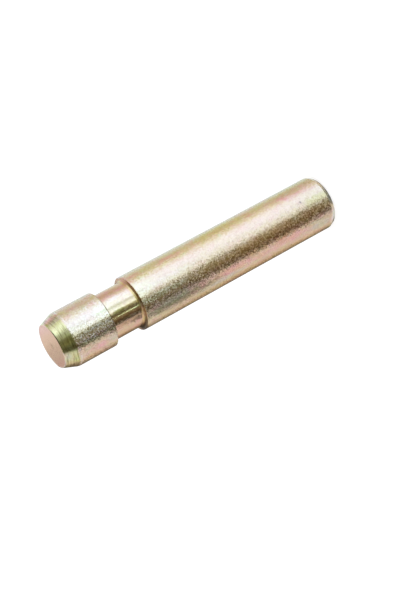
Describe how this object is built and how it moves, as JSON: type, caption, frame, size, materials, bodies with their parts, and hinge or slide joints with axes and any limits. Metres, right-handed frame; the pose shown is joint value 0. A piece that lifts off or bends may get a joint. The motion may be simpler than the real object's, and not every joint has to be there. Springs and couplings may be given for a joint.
{
  "type": "bucket tooth pin",
  "caption": "Round plated steel pin that locks a digging tooth on its adapter, with a retainer groove near a coned nose end.",
  "frame": {"origin": "centre of the butt end face, which the pin stands on", "axes": "+Z along the pin's axis, from the butt end towards the nose end with the groove and cone"},
  "size_m": [0.022, 0.022, 0.1265],
  "materials": {
    "yellow_zinc_steel": "turned steel under yellow iridescent zinc plating"
  },
  "bodies": {
    "root": {"tooth_pin": "yellow_zinc_steel"}
  },
  "joints": []
}
